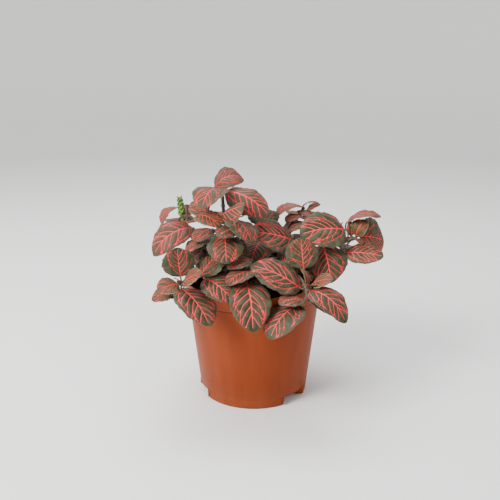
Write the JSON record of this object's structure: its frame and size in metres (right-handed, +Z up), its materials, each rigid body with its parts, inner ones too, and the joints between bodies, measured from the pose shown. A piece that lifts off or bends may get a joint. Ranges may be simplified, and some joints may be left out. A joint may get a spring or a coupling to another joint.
{
  "type": "potted nerve plant",
  "caption": "Bushy nerve plant with oval pink-veined leaves on short stems and one green flower spike, growing in soil in a tapered plastic nursery pot with a notched foot.",
  "frame": {"origin": "centre of the flat pad under the pot, on the surface that the pot stands on", "axes": "+Z up along the pot's axis, -Y towards the plant's front, +X to the right as seen from the front"},
  "size_m": [0.1982, 0.1756, 0.1973],
  "materials": {
    "terracotta_plastic": "satin",
    "potting_soil": "matte",
    "brown_green_stem": "matte",
    "veined_leaf": "satin",
    "green_bracts": "satin"
  },
  "bodies": {
    "root": {"pot": "terracotta_plastic", "soil": "potting_soil", "stem_back": "brown_green_stem", "stem_centre": "brown_green_stem", "stem_front": "brown_green_stem", "stem_left": "brown_green_stem", "stem_low": "brown_green_stem", "stem_middle": "brown_green_stem", "stem_rear": "brown_green_stem", "stem_right": "brown_green_stem", "stem_spike": "brown_green_stem", "stem_top": "brown_green_stem", "flower_spike": "green_bracts", "leaf_back_1": "veined_leaf", "leaf_back_2": "veined_leaf", "leaf_back_3": "veined_leaf", "leaf_back_4": "veined_leaf", "leaf_centre_1": "veined_leaf", "leaf_centre_2": "veined_leaf", "leaf_centre_3": "veined_leaf", "leaf_centre_4": "veined_leaf", "leaf_front_1": "veined_leaf", "leaf_front_2": "veined_leaf", "leaf_front_3": "veined_leaf", "leaf_front_4": "veined_leaf", "leaf_front_5": "veined_leaf", "leaf_front_6": "veined_leaf", "leaf_left_1": "veined_leaf", "leaf_left_2": "veined_leaf", "leaf_left_3": "veined_leaf", "leaf_left_4": "veined_leaf", "leaf_left_5": "veined_leaf", "leaf_left_6": "veined_leaf", "leaf_low_1": "veined_leaf", "leaf_low_2": "veined_leaf", "leaf_low_3": "veined_leaf", "leaf_low_4": "veined_leaf", "leaf_low_5": "veined_leaf", "leaf_low_6": "veined_leaf", "leaf_middle_1": "veined_leaf", "leaf_middle_2": "veined_leaf", "leaf_middle_3": "veined_leaf", "leaf_middle_4": "veined_leaf", "leaf_middle_5": "veined_leaf", "leaf_rear_1": "veined_leaf", "leaf_rear_2": "veined_leaf", "leaf_rear_3": "veined_leaf", "leaf_rear_4": "veined_leaf", "leaf_right_1": "veined_leaf", "leaf_right_2": "veined_leaf", "leaf_right_3": "veined_leaf", "leaf_right_4": "veined_leaf", "leaf_right_5": "veined_leaf", "leaf_spike_1": "veined_leaf", "leaf_spike_2": "veined_leaf", "leaf_spike_3": "veined_leaf", "leaf_top_1": "veined_leaf", "leaf_top_2": "veined_leaf", "leaf_top_3": "veined_leaf"}
  },
  "joints": []
}
